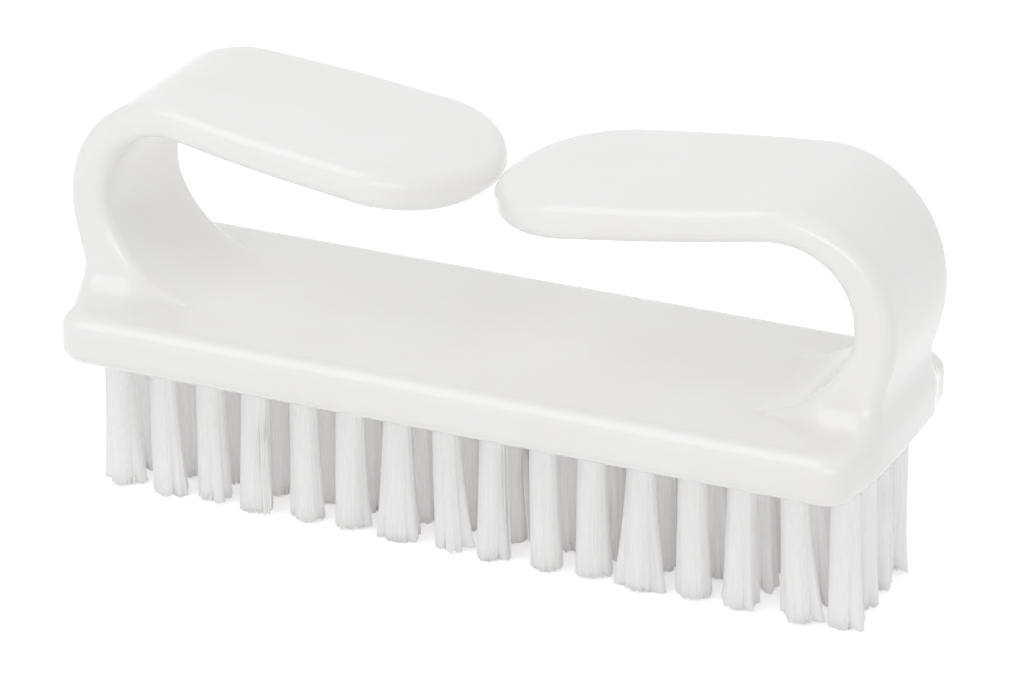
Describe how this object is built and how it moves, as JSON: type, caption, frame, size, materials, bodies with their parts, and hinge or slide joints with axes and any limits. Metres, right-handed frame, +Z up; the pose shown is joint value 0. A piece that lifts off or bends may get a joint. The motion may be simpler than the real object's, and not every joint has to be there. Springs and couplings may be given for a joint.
{
  "type": "nail brush",
  "caption": "Hand nail brush: flat back plate with two hooked grip arms that nearly meet over the middle, and rows of short bristle tufts below.",
  "frame": {"origin": "centre of the overall box on the plane of the trimmed bristle tips, where the brush stands", "axes": "+X along the brush, +Y across it, +Z up from the bristle tips to the grip arms"},
  "size_m": [0.0926, 0.032, 0.0454],
  "materials": {
    "white_plastic": "moulded white polypropylene, semi-gloss",
    "nylon_bristle": "undyed nylon filament, slightly translucent",
    "anchor_wire": "plated flat wire"
  },
  "bodies": {
    "root": {"brush_body": "white_plastic", "tuft_column_01": "nylon_bristle", "tuft_column_02": "nylon_bristle", "tuft_column_03": "nylon_bristle", "tuft_column_04": "nylon_bristle", "tuft_column_05": "nylon_bristle", "tuft_column_06": "nylon_bristle", "tuft_column_07": "nylon_bristle", "tuft_column_08": "nylon_bristle", "tuft_column_09": "nylon_bristle", "tuft_column_10": "nylon_bristle", "tuft_column_11": "nylon_bristle", "tuft_column_12": "nylon_bristle", "tuft_column_13": "nylon_bristle", "tuft_column_14": "nylon_bristle", "tuft_column_15": "nylon_bristle", "tuft_column_16": "nylon_bristle", "anchor_row_1": "anchor_wire", "anchor_row_2": "anchor_wire", "anchor_row_3": "anchor_wire", "anchor_row_4": "anchor_wire"}
  },
  "joints": []
}
